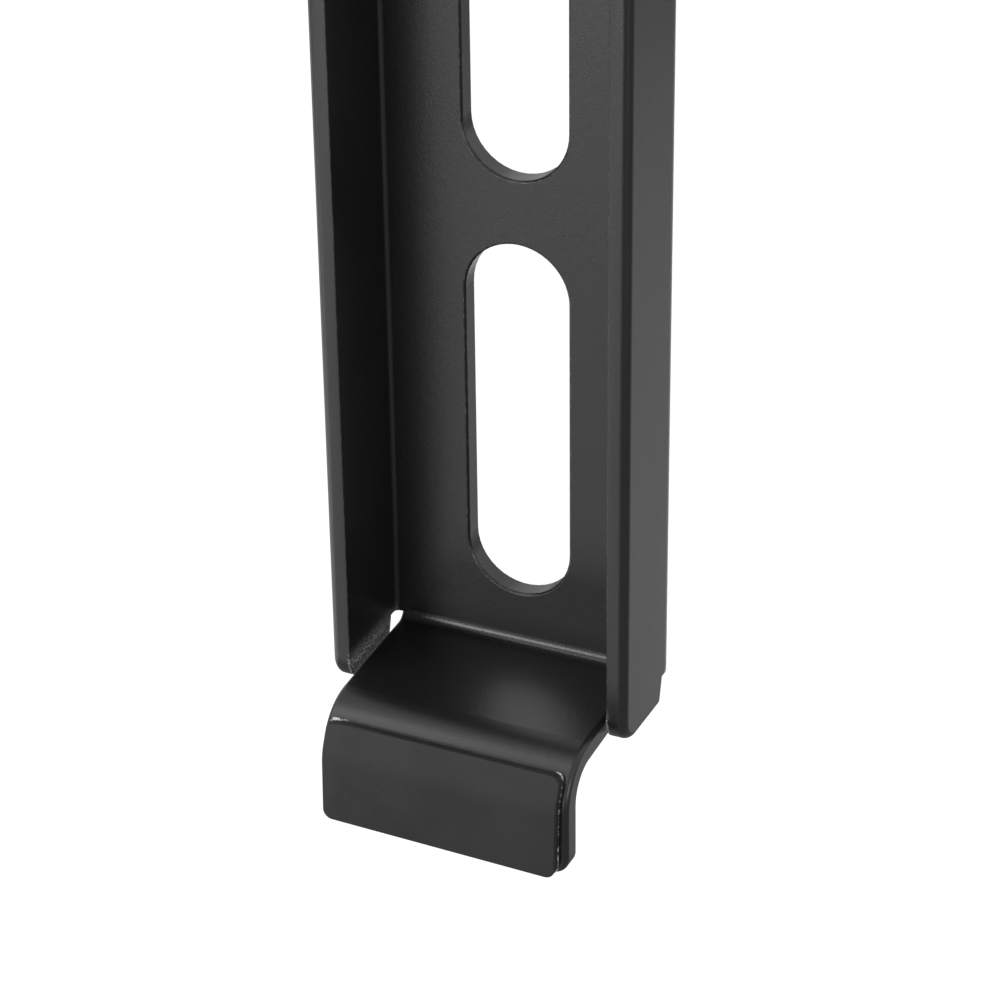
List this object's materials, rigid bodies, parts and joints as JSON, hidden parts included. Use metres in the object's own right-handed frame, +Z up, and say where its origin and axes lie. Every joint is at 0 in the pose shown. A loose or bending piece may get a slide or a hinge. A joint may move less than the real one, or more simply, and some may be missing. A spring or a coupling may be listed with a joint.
{
  "type": "fixed tv wall mount bracket arm",
  "caption": "Slim folded-steel channel arm with obround screw slots, a hook over the wall rail and a padded foot bent forward to rest on the wall.",
  "frame": {"origin": "middle of the row of screw slots, on the web's face that lies against the television", "axes": "+X across the arm, +Y from the wall towards the television, +Z up along the arm"},
  "size_m": [0.025, 0.0169, 0.2769],
  "materials": {
    "steel": "satin black powder coat",
    "adhesive": "pale double-sided adhesive film",
    "pad": "matte dark grey foam rubber"
  },
  "bodies": {
    "root": {"bracket_arm": "steel", "adhesive_film": "adhesive", "wall_pad": "pad"}
  },
  "joints": []
}
